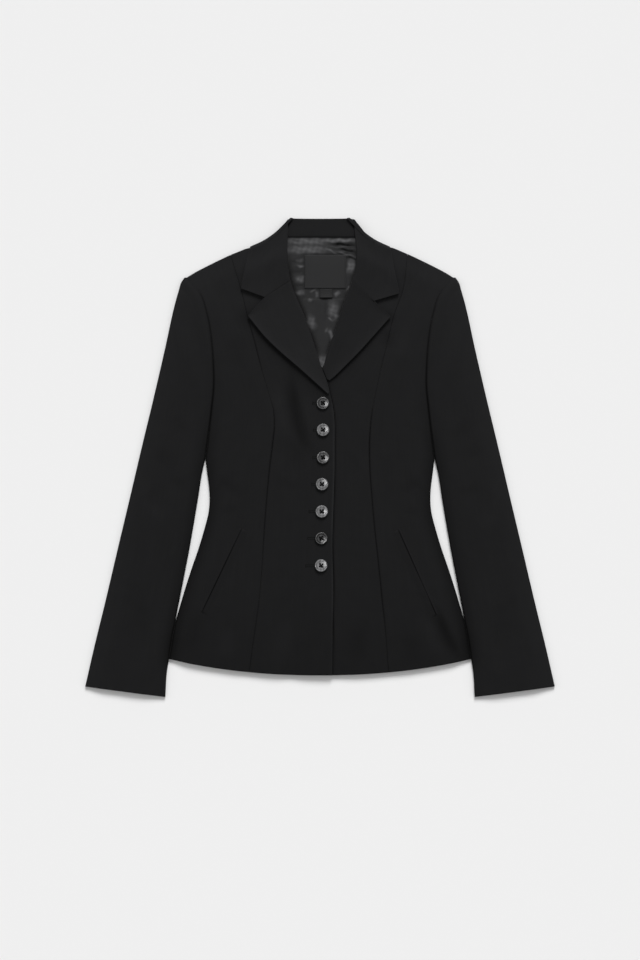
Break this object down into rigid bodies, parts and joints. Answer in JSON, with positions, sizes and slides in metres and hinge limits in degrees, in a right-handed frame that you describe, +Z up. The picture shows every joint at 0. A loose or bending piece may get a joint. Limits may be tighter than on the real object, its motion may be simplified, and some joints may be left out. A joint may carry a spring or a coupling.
{
  "type": "fitted hip-length blazer laid flat",
  "caption": "Black fitted hip-length blazer with notched lapels, princess seams, slanted welt pockets and a buttoned front, laid flat on its back.",
  "frame": {"origin": "middle of the laid-out outline, on the surface that the back lies on", "axes": "+X to the wearer's left, +Y from hem to collar, +Z up out of the front"},
  "size_m": [0.6724, 0.685, 0.0147],
  "materials": {
    "suiting": "matt black woven suiting",
    "lining": "dark grey satin lining",
    "label": "dark grey woven label, blank",
    "button": "smoky grey horn-effect resin, polished"
  },
  "bodies": {
    "root": {"back_left": "suiting", "back_right": "suiting", "front_left": "suiting", "front_right": "suiting", "side_front_left": "suiting", "side_front_right": "suiting", "lapel_left": "suiting", "lapel_right": "suiting", "collar_fall": "suiting", "collar_stand": "suiting", "top_sleeve_left": "suiting", "top_sleeve_right": "suiting", "under_sleeve_left": "suiting", "under_sleeve_right": "suiting", "welt_left": "suiting", "welt_right": "suiting", "back_lining": "lining", "neck_label": "label", "size_tab": "label", "button_1": "button", "button_2": "button", "button_3": "button", "button_4": "button", "button_5": "button", "button_6": "button", "button_7": "button"}
  },
  "joints": []
}
